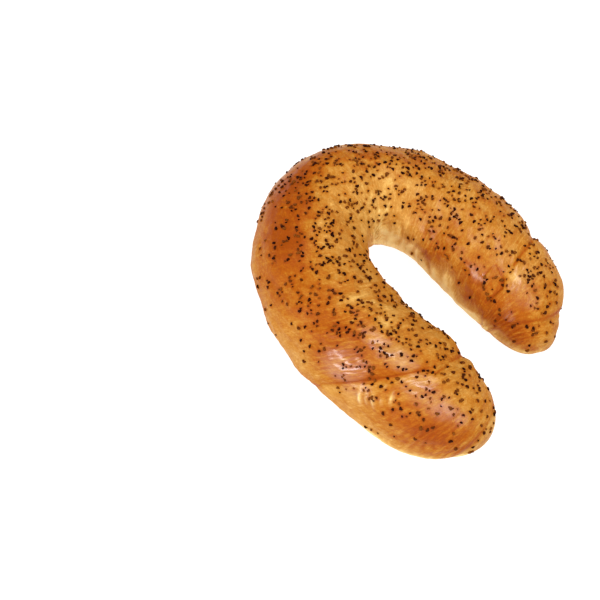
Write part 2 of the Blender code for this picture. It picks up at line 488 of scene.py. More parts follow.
# %% Swellings
SWELLINGS = (
    Place(-84, 45, 9, 7, 0, 0.5),
    Place(-91, 74, 7, 5, 0, 0.4),
    Place(-112, 38, 14, 10, 0, 0.5),
    Place(-114, 142, 12, 9, 0, 0.5),
    Place(-120, 120, 7, 9, 0, -0.7),  # the waist before arm A's end
    Place(-138, 128, 7, 11, 0, 2.3),  # the full corner of arm A's end
    Place(-70, 96, 5, 9, 0, 0.25),
    Place(-55, 146, 8, 9, 0, 1.0),
    Place(-79, 146, 4.5, 9, 0, -1.7),
    Place(-30, 92, 3, 9, 0, 0.2),
    Place(45, 168, 5, 8, 90, 0.5),
    Place(55, 141, 4, 4, 0, 0.35),
    Place(63, 166, 6, 9, 90, 0.6),
    Place(76, 172, 5, 9, 90, -0.9),
    Place(88, 150, 6, 10, 90, 0.6),
    Place(97, 98, 4, 4, 0, 0.35),
    Place(103, 120, 6, 9, 90, 0.3),
    Place(28, 46, 16, 10, 0, -0.8),
    Place(83, 17, 4.2, 12, 0, -2.0),  # the notch where wrap B starts on the outer side
    Place(104, 22, 9, 13, 0, 1.8),  # the bulge past it, and the waist after that
    Place(121, 24, 6, 13, 0, -2.4),
)
print(f"{len(SWELLINGS)} swellings, up to {max(place.amount for place in SWELLINGS):.1f} mm high")

# %% Puckers
PUCKERS = (  # under the edge of wrap A; their amounts are shares of the height
    Place(-96.0, 26.5, 2.4, 0.75, 67, 1.0),
    Place(-98.2, 30.0, 1.8, 0.6, 62, 0.7),
    Place(-100.4, 34.0, 2.4, 0.75, 60, 1.0),
    Place(-103.0, 38.0, 1.4, 0.6, 67, 0.5),
    Place(-105.2, 46.5, 2.2, 0.7, 70, 0.9),
    Place(-101.3, 51.5, 1.2, 0.6, 67, 0.5),
)
PUCKER_HEIGHT = 0.0013
print(f"{len(PUCKERS)} puckers")

# %% [markdown]
# ## Wrinkles
#
# Beside the creases, and where the bend squeezes the inner side, the skin of the dough gathers in wrinkles:
# rounded ridges with sharp valleys. The absolute value of a sine has just that profile. Each fan of wrinkles
# is a soft place with a spacing and a depth, and its lines run across the place's length. A little
# unevenness bends the lines and makes some deeper than others.

# %% Wrinkles
class Wrinkles(NamedTuple):
    """A fan of wrinkles."""

    place: Place  # its amount is the wrinkles' depth in millimetres
    spacing: float  # millimetres from ridge to ridge


FANS = (
    Wrinkles(Place(-86, 42, 5, 15, 42, 0.20), 1.7),  # lines along wrap A's fold
    Wrinkles(Place(-121, 14, 12, 10, 8, 1.15), 2.8),  # slanting lines low on arm A's end
    Wrinkles(Place(8, 175, 8, 22, 76, 0.75), 2.2),  # gathers inside the bend, along the roll
    Wrinkles(Place(60, 170, 24, 10, 4, 0.70), 6.4),  # pleats down the inner side of arm B
    Wrinkles(Place(60, 140, 30, 10, 0, 0.26), 2.1),
    Wrinkles(Place(114, 148, 9, 13, 6, 0.70), 1.8),  # rings at arm B's end
    Wrinkles(Place(121, 115, 4, 22, 8, 0.26), 1.7),
    Wrinkles(Place(20, 120, 40, 16, 0, 0.10), 1.7),
)
LINE_BENDS = Uneven(0.006, 0.35, 3)  # how far a wrinkle strays, in spacings
LINE_DEPTHS = Uneven(0.005, 0.5, 4)  # added to the share of its depth that every wrinkle has
LINE_DEPTH = 0.75


def wrinkles(fan, s, a, points):
    """The height of one fan of wrinkles."""
    u, _ = across_place(fan.place, s, a)
    bent = u * 1000 / fan.spacing + unevenness(points, LINE_BENDS)
    valleys = 1 - np.abs(np.sin(math.pi * bent))
    strength = LINE_DEPTH + unevenness(points, LINE_DEPTHS)
    return -fan.place.amount / 1000 * valleys * strength * mask(fan.place, s, a)


def all_wrinkles(s, a, points):
    """The height of all fans together, 0 or less."""
    return sum(wrinkles(fan, s, a, points) for fan in FANS)


print(f"{len(FANS)} fans of wrinkles")

# %% [markdown]
# ## The relief
#
# All of this is added up to one number for each point: how far the crust stands out of the plain swept shape.
# Three sizes of unevenness go on top, from lumps a centimetre across down to a grain that is just large
# enough for the mesh. Finer texture is left to the material.

# %% Relief
LUMPS = Uneven(0.011, 0.0005, 1)
DIMPLES = Uneven(0.0035, 0.00022, 2)
GRAIN = Uneven(0.0015, 0.00008, 9)
GRAIN_STRETCH = (2.0, 1.0, 1.0)  # the grain is half as long along the roll as across it


def relief(s, a, points):
    """How far the crust stands out of the plain swept shape."""
    out = creases(s, a) + sum_of(SWELLINGS, s, a) / 1000
    out += PUCKER_HEIGHT * sum_of(PUCKERS, s, a)
    out += all_wrinkles(s, a, points)
    out += unevenness(points, LUMPS) + unevenness(points, DIMPLES)
    out += unevenness(points * GRAIN_STRETCH, GRAIN)
    return out


print(f"the bumps are from {LUMPS.size * 1000:.0f} down to {GRAIN.size * 1000:.1f} mm across")

# %% [markdown]
# ## From numbers to points
#
# One function turns `s` and `a` into a point of the crust. It could lay a section at each place of a curve
# with modifiers; written out, every step is in sight: the flattened round, the relief on it, the lifted ends,
# and last the middle line that carries it. The relief fades out near the flat underside, so that the roll
# still rests on its tray. The function also gives each point's place on the straightened roll, for patterns
# that should follow the dough round the bend.

# %% Points of the crust
RELIEF_FROM = 0.03  # no relief at this share of the height, all of it at the next
RELIEF_FULL = 0.3
THINNEST = 1e-6  # keeps the tips, which have no height, from dividing by it


def crust_points(s, a, ring):
    """Points of the crust, their places on the straightened roll, and their shares of the height."""
    full = half_width(s)
    shrink = rounding(s)
    wide = full * shrink
    height = 2 * wide * HEIGHT_TO_WIDTH
    middle = WIDEST_AT * height
    rise = np.sin(a)
    upper = middle + (height - middle) * rise
    lower = np.maximum(0, middle * (1 - UNDERSIDE_DROP * np.abs(rise) ** UNDERSIDE_FULLNESS))
    across = wide * np.cos(a)
    up = np.where(rise > 0, upper, lower)
    level = up / np.maximum(height, THINNEST)
    straight = np.stack([ring, across, up], axis=1)
    out = relief(s, a, straight) * ease(level, RELIEF_FROM, RELIEF_FULL) * shrink
    across += out * np.cos(a)
    up += out * rise
    lift = (1 - shrink) * np.where(s < 0, END_LIFT_A, END_LIFT_B) * 2 * full * HEIGHT_TO_WIDTH
    turn = heading(s)
    x = np.interp(s, LINE_S, LINE_X) + across * np.sin(turn)
    y = np.interp(s, LINE_S, LINE_Y) + across * np.cos(turn)
    return np.stack([x, y, up + lift], axis=1), straight, level


bend_top, _, _ = crust_points(np.array([0.0]), crown, np.array([0.0]))
print(f"the top of the bend is {bend_top[0, 2] * 1000:.0f} mm high")

# %% [markdown]
# ## The grid
#
# The crust is a grid of rings round the roll. They run along the creases, crowd together beside them, and
# lean evenly from one crease to the next. On each ring the points lie closer together on top than underneath.
# The grid's spacing, about half a millimetre, is what lets the wrinkles be real geometry. Subdividing a
# coarse mesh would spend as many faces on the hidden underside as on the top.

# %% Rings and sides
RINGS_FACTOR = 7
SIDES = 206
CROWDING = 0.35  # how much closer the rings lie beside a groove
TOP_CROWDING = 0.35  # how much closer the sides lie on top


def ring_lines():
    """Where the rings of the grid run: along the guides, and leaning from one guide to the next."""
    lines = []
    for before, after in zip(GUIDES, GUIDES[1:]):
        rings = after.rings_before * RINGS_FACTOR
        t = np.arange(rings) / rings
        t = t - CROWDING * np.sin(2 * math.pi * t) / (2 * math.pi)
        first = np.array(before[:3])
        last = np.array(after[:3])
        lines.append(first + t[:, None] * (last - first))
    return np.concatenate(lines)[1:]


def grid(rings):
    """s, a and ring of every point, the points at the two ends first."""
    t = 2 * math.pi * (np.arange(SIDES) + 0.5) / SIDES
    a = t + TOP_CROWDING * np.cos(t)
    s = rings[:, :1] + rings[:, 1:2] * np.cos(a) + rings[:, 2:] * np.sin(a)
    s = np.clip(s, -ARM_A, ARM_B)
    all_a = np.broadcast_to(a, s.shape)
    all_rings = np.broadcast_to(rings[:, :1], s.shape)
    ends = [-ARM_A, ARM_B]
    flat_s = np.concatenate([ends, s.ravel()])
    flat_a = np.concatenate([[0, 0], all_a.ravel()])
    flat_rings = np.concatenate([ends, all_rings.ravel()])
    return flat_s, flat_a, flat_rings


ring_places = ring_lines()
grid_s, grid_a, grid_ring = grid(ring_places)
print(f"{len(ring_places)} rings of {SIDES} points")

# %% Faces of the grid
def grid_faces(rings):
    """Quads between the rings and triangles at the two ends, all facing outwards."""
    at = 2 + np.arange(rings * SIDES).reshape(rings, SIDES)
    beside = np.roll(at, -1, axis=1)
    quads = np.stack([at[:-1], beside[:-1], beside[1:], at[1:]], axis=-1).reshape(-1, 4)
    first = np.stack([np.zeros(SIDES, int), beside[0], at[0]], axis=1)
    last = np.stack([np.ones(SIDES, int), at[-1], beside[-1]], axis=1)
    return first.tolist() + last.tolist() + quads.tolist()


crust_faces = grid_faces(len(ring_places))
print(f"{len(crust_faces)} faces, {2 * SIDES * len(ring_places)} triangles")

# %% [markdown]
# ## The crust's mesh
#
# The points are worked out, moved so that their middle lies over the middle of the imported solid, and handed
# to Blender as one closed mesh.

# %% Crust mesh
points, straight, level = crust_points(grid_s, grid_a, grid_ring)
middle = (points.max(axis=0) + points.min(axis=0)) / 2
cad_middle = np.array(cad_low + cad_high) / 2
points[:, :2] += (cad_middle - middle)[:2]

crust_data = bpy.data.meshes.new("glazed_crust")
crust_data.from_pydata(points.tolist(), [], crust_faces)
crust_data.validate()
crust_data.shade_smooth()
crust = in_scene("glazed_crust", crust_data)
crust_size = (points.max(axis=0) - points.min(axis=0)) * 1000
print("the crust is {:.1f} x {:.1f} x {:.1f} mm".format(*crust_size))

# %% [markdown]
# ## How the crust baked
#
# The oven browns what stands up into the heat. What is folded away, pressed between turns of dough or close
# to the tray stays pale. The bake could be painted by hand; here it is a rule plus the places where this roll
# differs, darker with a positive amount and paler with a negative one. The same number also carries painted
# light: shade in the creases and between wrinkles, floor light on the lowest crust and glints on the puckers.
# The result is one number for each point, stored in the mesh as an attribute, which the material turns into
# colour.

# %% Browner and paler places
BROWN_ALL = 0.42
BROWN_PLACES = (
    Place(-24, 60, 22, 11, -4, 0.46, 2.0),  # the darkest part of the band along the outer side of the bend
    Place(-56, 56, 30, 12, -8, 0.20, 1.5),
    Place(-70, 32, 34, 10, -6, 0.14),
    Place(-40, 0, 30, 8, 0, 0.12),
    Place(-3, 22, 18, 9, 0, 0.12),
    Place(12, 68, 18, 8, 0, 0.13),
    Place(-122, 38, 15, 11, 0, 0.28, 1.5),  # the end of arm A
    # Browner along wrap A's fold: partly painted shade where the crust turns down into the crease.
    Place(-84, 62, 16, 7, -40, 0.12),  # along wrap A's fold
    Place(-85, 43, 7, 6, 20, -0.12),
    # The paler places low on the outer side of arm A are partly pale dough and partly painted light from the
    # floor below.
    Place(-84, 8, 26, 8, 0, -0.08),  # low on the outer side of arm A
    Place(-57, -4, 15, 7, 0, -0.15),
    Place(-124, -8, 9, 8, 0, -0.10),
    Place(-113, -20, 25, 6, 0, -0.45, 1.5),
    Place(-64, 22, 12, 7, 0, -0.12),
    Place(-70, 93, 2.5, 8, 12, -0.32),  # pale stretched streaks
    Place(-86, 98, 4, 6, 0, -0.20),
    Place(-30, 92, 1.6, 6, 0, -0.20),
    Place(98, 101, 3, 5, 0, -0.20),
    Place(17, 142, 42, 15, 0, -0.20, 1.5),  # pale gold on top of the bend and arm B
    Place(44, 156, 18, 6, 0, -0.18),
    Place(6, 152, 30, 8, 0, -0.12),
    # The palest places inside the bend and low on arm B's inner side are partly pale dough and partly painted
    # light from the floor below.
    Place(16, 182, 28, 8, 0, -0.35, 1.5),  # the palest dough: gathers inside the bend
    Place(56, 191, 36, 7, 0, -0.58, 1.5),  # and low on the inner side of arm B
    Place(104, 191, 22, 7.5, 0, -0.44, 1.5),
    Place(46, 164, 4, 8, 0, 0.08),  # dark pleats above it, with pale ones between them
    Place(64, 165, 6, 9, 0, 0.13, 1.5),
    Place(92, 162, 9, 13, 0, 0.14, 1.5),
    Place(88, 182, 6, 6, 0, 0.14),
    Place(68, 152, 34, 7, 0, 0.12),
    Place(88, 140, 20, 6, 0, 0.10),
    Place(53, 178, 2, 5, 0, -0.16),
    Place(77, 172, 4, 8, 0, -0.30),
    Place(114, 152, 12, 18, 0, 0.24, 1.5),  # the end of arm B
    Place(108, 164, 5, 9, 0, 0.10),
)
print(f"{len(BROWN_PLACES)} places are browner or paler than the rest")

# %% [markdown]
# The rule: the bottoms of the creases and the cracks, where syrupy egg collected, are browner, partly as
# painted shade in the grooves. So is the rolled fold beside wrap A, which stood nearest the heat, with painted
# shade where it turns down into the crease. The dough right under that fold, the tip of arm A past its rim,
# and the lowest part all round were kept from the heat and stayed paler; low down that paleness is also
# painted light from the glowing floor. Valleys between wrinkles are painted darker than their ridges as shade,
# also in the palest dough, and the puckers are pale, partly stretched skin and partly a painted glint.

# %% Bake
class Strip(NamedTuple):
    """A strip of crust beside a crease: where it begins and ends, in distances past the edge."""

    begins: float
    whole: float
    fades: float
    ends: float
    amount: float


BROWN_CLOUDS = Uneven(0.008, 0.05, 6)
BROWN_SPOTS = Uneven(0.003, 0.06, 7)
# The lowest crust is paler, partly dough that stayed pale by the tray and partly painted light from the
# glowing floor.
TRAY_PALE_AND_FLOOR_LIGHT = 0.15
PALE_BELOW = 0.22  # share of the height below which the crust gets paler
# The puckers are paler, partly stretched skin and partly a painted glint on their ridges.
PUCKER_PALE_AND_GLINT = 0.5
# The bottoms of the creases and of the cracks are browner, partly pooled egg and partly painted shade in the
# groove.
FOLD_BROWN_AND_SHADE = 0.55
FOLD_WIDTH = 0.0007
DEEP = 0.0015  # depth of a crease that is as brown as they get
CRACK_BROWN_AND_SHADE = 0.34
# The band just before wrap A's edge is browner, partly the proud fold baking more and partly painted shade
# where it turns down into the crease.
PROUD_FOLD_AND_SHADE = Strip(-0.006, -0.001, -0.0008, 0.0, 0.12)
UNDER_FOLD = Strip(0.0004, 0.0012, 0.003, 0.008, -0.09)
RIM_PALE = 0.19
RIM_START = 0.0002
RIM_END = 0.0014
RIM_LOWEST = -0.1  # the rim is a little paler than the rest even at the level of the tray
# Valleys between wrinkles are painted darker, as shade, in proportion to their depth.
VALLEY_SHADE = 420.0  # how much browner a valley between wrinkles is, for each metre of its depth


def strip(kind, d):
    """A strip's amount, at a distance past the edge."""
    return kind.amount * ease(d, kind.begins, kind.whole) * (1 - ease(d, kind.fades, kind.ends))


def near_folds(s, a, width):
    """1 at the bottom of a deep crease, fading beside it."""
    return sum(wrap.depth / DEEP * np.exp(-np.abs(past(wrap, s, a)) / width) for wrap in CREASES)


def bake_and_painted_light(s, a, level, points):
    """Brownness from 0 to 1, with painted shade in hollows and painted light low down and on puckers."""
    brown = BROWN_ALL + sum_of(BROWN_PLACES, s, a)
    brown += unevenness(points, BROWN_CLOUDS) + unevenness(points, BROWN_SPOTS)
    brown -= TRAY_PALE_AND_FLOOR_LIGHT * (1 - ease(level, 0.0, PALE_BELOW))
    brown -= PUCKER_PALE_AND_GLINT * sum_of(PUCKERS, s, a)
    from_fold = past(WRAP_A, s, a)
    folds = FOLD_BROWN_AND_SHADE * near_folds(s, a, FOLD_WIDTH)
    folds += strip(PROUD_FOLD_AND_SHADE, from_fold) + strip(UNDER_FOLD, from_fold)
    brown += crease_strength(s, a) * folds + CRACK_BROWN_AND_SHADE * near_cracks(s, a)
    rim = ease(past(RIM_A, s, a), RIM_START, RIM_END) * ease(level, RIM_LOWEST, PALE_BELOW)
    brown -= RIM_PALE * rim
    brown = np.maximum(brown, 0) - VALLEY_SHADE * all_wrinkles(s, a, points)
    return np.clip(brown, 0, 1)


# %% Keeping numbers in the mesh
def store(data, name, values):
    """Keeps one number, or one vector, for each point of a mesh."""
    kind, field = ("FLOAT", "value") if values.ndim == 1 else ("FLOAT_VECTOR", "vector")
    attribute = data.attributes.new(name, kind, "POINT")
    attribute.data.foreach_set(field, np.ascontiguousarray(values, dtype=np.float32).ravel())


brownness_and_painted_light = bake_and_painted_light(grid_s, grid_a, level, straight)
store(crust_data, "bake_and_painted_light", brownness_and_painted_light)
store(crust_data, "straight", straight)
print(f"the bake runs from {brownness_and_painted_light.min():.2f} to {brownness_and_painted_light.max():.2f}, {brownness_and_painted_light.mean():.2f} on average")

# %% [markdown]
# ## Where the glaze shines and where the skin is drawn
#
# Egg runs before it sets. It pooled on the fold of arm A, along the crown and on the shoulder of arm B, and
# shines there and on the puckers. In the creases the crust is dull. And where the dough was stretched, its
# skin is drawn into fine lines round the roll. Both could be painted as image textures; as attributes they
# need no unwrapping.

# %% Gloss
GLOSS_ALL = 0.04
GLOSS_PLACES = (  # where the egg glaze pooled
    Place(-87.5, 40, 9, 8, 20, 1.2, 1.5),
    Place(-99, 79, 13, 4, -6, 0.9, 1.5),
    Place(-117, 64, 15, 4.5, 4, 0.8, 1.5),
    Place(-137, 80, 4, 30, 0, 0.25),
    Place(-3, 22, 17, 9, 0, 0.36),
    Place(56, 122, 16, 4, 0, 0.30),
    Place(56, 146, 5, 3, 0, 0.30),
    Place(88, 134, 4.5, 3.2, 0, 0.7, 1.5),
    Place(111, 138, 2.6, 3.2, 0, 1.2),
    Place(100, 98, 14, 8, 0, 0.5),
)
DULL_WIDTH = 0.0020  # of the dull strip along a crease

gloss = GLOSS_ALL + sum_of(GLOSS_PLACES + PUCKERS, grid_s, grid_a) - near_folds(grid_s, grid_a, DULL_WIDTH)
gloss = np.clip(gloss, 0, 1)
store(crust_data, "gloss", gloss)
print(f"{(gloss > 0.3).mean() * 100:.0f} % of the crust's points shine")

# %% Gathered skin
GATHER_ALL = 0.30
GATHER_PLACES = (
    Place(70, 160, 40, 14, 0, 0.4),
    Place(-124, 20, 14, 14, 0, 0.5),
    Place(-84, 45, 12, 14, 0, 0.5),
    Place(-70, 95, 10, 12, 0, 0.4),
    Place(112, 140, 12, 16, 0, 0.3),
    Place(45, 70, 60, 8, 0, 0.3),
)

gather = np.clip(GATHER_ALL + sum_of(GATHER_PLACES, grid_s, grid_a), 0, 1)
store(crust_data, "gather", gather)
print(f"the skin's lines are {gather.min():.1f} to {gather.max():.1f} of their full strength")

# %% [markdown]
# ## Writing node trees as sums
#
# A node tree that is wired one line per link is hard to read. These two small classes let a tree be written
# as ordinary arithmetic: a `Wire` is the output of a node, and adding or multiplying wires adds the Math node
# that does it, or a Vector Math node where a vector or a colour is involved. `Tree.node` makes every other
# kind: it takes the node's type, its settings, and what goes into its sockets.

# %% Wires
class Wire:
    """An output socket. Arithmetic on it adds Math and Vector Math nodes to its tree."""

    def __init__(self, tree, socket):
        self.tree = tree
        self.socket = socket

    def maths(self, operation, *values):
        vectors = any(isinstance(v, Wire) and v.socket.type in ("VECTOR", "RGBA") for v in values)
        made = self.tree.nodes.new("ShaderNodeVectorMath" if vectors else "ShaderNodeMath")
        made.operation = operation
        for value, socket in zip(values, made.inputs):
            if isinstance(value, Wire):
                self.tree.links.new(value.socket, socket)
            elif vectors and isinstance(value, (int, float)):
                socket.default_value = (value,) * 3
            else:
                socket.default_value = value
        return Wire(self.tree, made.outputs[0])

    def __add__(self, other):
        return self.maths("ADD", self, other)

    def __radd__(self, other):
        return self.maths("ADD", other, self)

    def __sub__(self, other):
        return self.maths("SUBTRACT", self, other)

    def __rsub__(self, other):
        return self.maths("SUBTRACT", other, self)

    def __mul__(self, other):
        return self.maths("MULTIPLY", self, other)

    def __rmul__(self, other):
        return self.maths("MULTIPLY", other, self)

    def size(self):
        """The same number without its sign."""
        return self.maths("ABSOLUTE", self)

    def power(self, other):
        return self.maths("POWER", self, other)

    def clamped(self):
        """The same number, kept between 0 and 1."""
        made = self.maths("ADD", self, 0.0)
        made.socket.node.use_clamp = True
        return made

    def beside(self, name):
        """Another output of the same node."""
        return Wire(self.tree, self.socket.node.outputs[name])


# %% Trees
def set_stops(ramp, stops):
    """Gives a colour ramp these (position, colour) stops and no others."""
    while len(ramp.elements) > 1:
        ramp.elements.remove(ramp.elements[-1])
    for number, (position, colour) in enumerate(stops):
        element = ramp.elements[0] if number == 0 else ramp.elements.new(position)
        element.position = position
        element.color = colour


class Tree:
    """A node tree, and the one method that adds any node to it."""

    def __init__(self, tree):
        self.tree = tree

    def node(self, kind, settings=None, inputs=None, output=0):
        """A node of this type. Its sockets are named, or numbered where it has several of one name."""
        made = self.tree.nodes.new(kind)
        for name, value in (settings or {}).items():
            if name == "stops":
                set_stops(made.color_ramp, value)
            else:
                setattr(made, name, value)
        for name, value in (inputs or {}).items():
            if isinstance(value, Wire):
                self.tree.links.new(value.socket, made.inputs[name])
            else:
                made.inputs[name].default_value = value
        return Wire(self.tree, made.outputs[output]) if made.outputs else made

    def attribute(self, name, output="Fac"):
        return self.node("ShaderNodeAttribute", {"attribute_name": name}, output=output)

    def noise(self, vector, scale, detail, roughness):
        inputs = {"Vector": vector, "Scale": scale, "Detail": detail, "Roughness": roughness}
        return self.node("ShaderNodeTexNoise", {}, inputs)


def new_material(name):
    """A material and its empty tree."""
    material = bpy.data.materials.new(name)
    material.use_nodes = True
    material.node_tree.nodes.clear()
    return material, Tree(material.node_tree)


# %% [markdown]
# ## The glazed crust's finish
#
# Egg glaze over baked dough is a warm brown that follows the bake, broken up at several sizes: rings where
# the skin tightened round the roll, cloudy patches, flecks, and specks at the edge of what the eye can see.
# A photograph of bread wrapped round the mesh would smear on the sides, so each size is a noise of its own.
# All of them read the straightened roll, so that they follow the dough round the bend.

# %% Texture of the skin
RING_STRETCH = (850.0, 120.0, 120.0)  # steps a metre, along the roll and across it
RINGS = (1.0, 4.0, 0.6)  # steps for each of those, detail and roughness of the noise
FLECKS = (700.0, 4.0, 0.65)  # the same, but with steps a metre
PATCHES = (130.0, 3.0, 0.55)
SPECKS = (1700.0, 3.0, 0.7)
LINE_SHARPNESS = 7.0

crust_finish, tree = new_material("glazed_crust")
skin = tree.attribute("straight", "Vector")
drawn = tree.attribute("gather")
rings = tree.noise(skin * RING_STRETCH, *RINGS)
flecks = tree.noise(skin, *FLECKS)
patches = tree.noise(skin, *PATCHES)
specks = tree.noise(skin, *SPECKS)
lines = (1.0 - (rings * 2.0 - 1.0).size()).power(LINE_SHARPNESS) * drawn
print("the skin's texture takes", len(crust_finish.node_tree.nodes), "nodes")

# %% [markdown]
# The ramp's colours are the crust's own, from the palest dough to the darkest glaze. The noises move the bake
# up and down the ramp, rather than lightening and darkening the colour, because a paler fleck of crust is one
# that baked less. Pale dough has hardly any flecks yet, so they grow with the bake. Egg gathers round the
# foot of a seed and browns there, which leaves a halo, and the halo's darkness is partly painted contact
# shade under the seed.

# %% Colour of the crust
BAKE_COLOURS = (
    (0.00, (0.93, 0.68, 0.265, 1)),
    (0.12, (0.76, 0.43, 0.105, 1)),
    (0.28, (0.60, 0.278, 0.050, 1)),
    (0.50, (0.50, 0.184, 0.015, 1)),
    (0.75, (0.41, 0.100, 0.002, 1)),
    (1.00, (0.33, 0.060, 0.0005, 1)),
)
RING_BROWN = 0.85  # how far each noise moves the bake
FLECK_BROWN = 0.70
PATCH_BROWN = 0.30
LINE_BROWN = 0.30
SPECK_BROWN = 0.45
# The halo round a seed's foot is darker, partly browned egg and partly painted contact shade under the seed.
HALO_BROWN_AND_SHADE = 0.30
PALE_MOTTLE = 0.15  # share of all this that the palest dough has
MOTTLE_GROWTH = 2.2  # how fast the rest comes with the bake

baked_and_painted_light = tree.attribute("bake_and_painted_light")
halo = tree.attribute("seed_halo")
mottle = (rings - 0.5) * drawn * RING_BROWN + (flecks - 0.5) * FLECK_BROWN + (patches - 0.5) * PATCH_BROWN
mottle = mottle + lines * LINE_BROWN + (specks - 0.5) * SPECK_BROWN
ramp_position = baked_and_painted_light + mottle * (baked_and_painted_light * MOTTLE_GROWTH + PALE_MOTTLE).clamped() + halo * HALO_BROWN_AND_SHADE
colour = tree.node("ShaderNodeValToRGB", {"stops": BAKE_COLOURS}, {"Fac": ramp_position.clamped()}, "Color")
print("with its colour", len(crust_finish.node_tree.nodes), "nodes")

# %% [markdown]
# Baked dough itself is dull, which a low index of refraction gives: the usual one would lay a grey veil over
# the deep brown. The egg glaze is a second, clear layer on top, the shader's coat, and it is there only where
# the gloss attribute says. The finest wrinkles, about a millimetre apart, are too small for the mesh and are
# bump.

# %% Shine and finest relief
CRUST_ROUGHNESS = 0.42
CRUST_IOR = 1.2
COAT_ROUGHNESS = 0.32
COAT_IOR = 1.7
PATCH_ROUGH = 0.20  # how much rougher patches and flecks are, and how much smoother the shine is
FLECK_ROUGH = 0.10
SHINE_SMOOTH = 0.22
COAT_LEAST = 0.5  # share of the glaze that is there between the flecks
BUMP_STRENGTH = 0.4
BUMP_DISTANCE = 0.0010
RING_HIGH = 0.25  # shares of that distance
FLECK_HIGH = 0.6
PATCH_HIGH = 0.4
LINE_DEEP = 0.1
HALO_DEEP = 0.3

shine = tree.attribute("gloss")
rough = CRUST_ROUGHNESS + PATCH_ROUGH * patches + FLECK_ROUGH * flecks - SHINE_SMOOTH * shine
height = rings * (RING_HIGH + drawn) + flecks * FLECK_HIGH + patches * PATCH_HIGH
height = height - lines * LINE_DEEP - halo * HALO_DEEP
bump_inputs = {"Strength": BUMP_STRENGTH, "Distance": BUMP_DISTANCE, "Height": height}
bump = tree.node("ShaderNodeBump", {}, bump_inputs, "Normal")
coat = (shine * (COAT_LEAST + flecks)).clamped()
inputs = {"Base Color": colour, "Roughness": rough.clamped(), "Normal": bump, "IOR": CRUST_IOR}
inputs |= {"Coat Weight": coat, "Coat Roughness": COAT_ROUGHNESS, "Coat IOR": COAT_IOR}
shader = tree.node("ShaderNodeBsdfPrincipled", {}, inputs)
tree.node("ShaderNodeOutputMaterial", {}, {"Surface": shader})
crust_data.materials.append(crust_finish)
print("the whole finish has", len(crust_finish.node_tree.nodes), "nodes")

# %% [markdown]
# ## Where the poppy seeds lie
#
# The seeds were strewn from above on the wet glaze, so they lie thick where the crust faces the sky, in loose
# clumps, and hardly any stuck to the sides. That is a rule on the direction each point faces, and it is
# stored as one more attribute, from 0 for none to 1 for the thickest.

# %% Share of seeds
SEED_STEEPNESS = 1.8  # how quickly the seeds thin out as the crust turns away from the sky
SEED_STRAYS = 0.07  # share that still lies on the steep sides
SEED_LOWEST = -0.1  # height of the crust's outward direction below which none lies
CLUMPS = Uneven(0.0022, 0.96, 8)


def outward(data):
    """The outward direction at each point of a mesh."""
    found = np.empty(len(data.vertices) * 3, dtype=np.float32)
    data.vertex_normals.foreach_get("vector", found)
    return found.reshape(-1, 3)


def seed_share(normals, points):
    """How thick the seeds lie, from 0 to 1."""
    up = normals[:, 2]
    share = np.maximum(np.maximum(up, 0) ** SEED_STEEPNESS, SEED_STRAYS) * (up > SEED_LOWEST)
    return share * np.exp(unevenness(points, CLUMPS)) / math.exp(CLUMPS.amount)


share_of_seeds = seed_share(outward(crust_data), straight)
store(crust_data, "seed_share", share_of_seeds)
print(f"on average the seeds lie {share_of_seeds.mean():.2f} as thick as they could")

# %% [markdown]
# ## The seeds' finish
#
# Poppy seeds are blue-black and pitted. Egg dried on them in the oven and turned them black-brown, some much
# lighter than others. Giving each its own material would do that at a high price; instead the tree below
# stores one random number for each seed, and this material's ramp turns it into the seed's tone.

# %% Seed material
SEED_TONES = (
    (0.00, (0.016, 0.0016, 0.0006, 1)),
    (0.35, (0.036, 0.005, 0.001, 1)),
    (0.65, (0.11, 0.025, 0.003, 1)),
    (1.00, (0.22, 0.062, 0.006, 1)),
)
PITS = (3200.0, 2.0, 0.5)  # steps a metre, detail and roughness of the noise
PIT_TONE = 0.3
SEED_ROUGHNESS = 0.4
PIT_ROUGH = 0.3
SEED_IOR = 1.12
PIT_BUMP = {"Strength": 0.5, "Distance": 0.0001}

seed_finish, tree = new_material("poppy_seed")
pits = tree.noise(tree.node("ShaderNodeTexCoord", output="Object"), *PITS)
tone = tree.attribute("seed_tone") + (pits - 0.5) * PIT_TONE
colour = tree.node("ShaderNodeValToRGB", {"stops": SEED_TONES}, {"Fac": tone.clamped()}, "Color")
bump = tree.node("ShaderNodeBump", {}, PIT_BUMP | {"Height": pits}, "Normal")
rough = (SEED_ROUGHNESS + PIT_ROUGH * pits).clamped()
inputs = {"Base Color": colour, "Roughness": rough, "Normal": bump, "IOR": SEED_IOR}
shader = tree.node("ShaderNodeBsdfPrincipled", {}, inputs)
tree.node("ShaderNodeOutputMaterial", {}, {"Surface": shader})
print("the seeds' finish has", len(seed_finish.node_tree.nodes), "nodes")

# %% [markdown]
# ## Strewing the seeds with Geometry Nodes
#
# Placing a thousand seeds by hand is out of the question, and a particle system can't keep them apart.
# Geometry Nodes are made for this: points are spread over the crust, as thick as an attribute says and never
# closer than a seed's width, and a seed is set on each, turned at random. The tree's sizes are inputs with
# names, so that it can be tried with other seeds.

# %% The seed tree and its inputs
SEED_LENGTH = 0.00143
SEED_GAP = 0.00098
SEED_DENSITY = 500000.0  # a square metre, before the gap and the share thin them out
SEED_DRAW = 12

seed_group = bpy.data.node_groups.new("strew_seeds", "GeometryNodeTree")


def tree_input(name, kind, default=None):
    """Adds an input to the seed tree, and gives the identifier that a modifier knows it by."""
    made = seed_group.interface.new_socket(name=name, in_out="INPUT", socket_type=kind)
    if default is not None:
        made.default_value = default
    return made.identifier


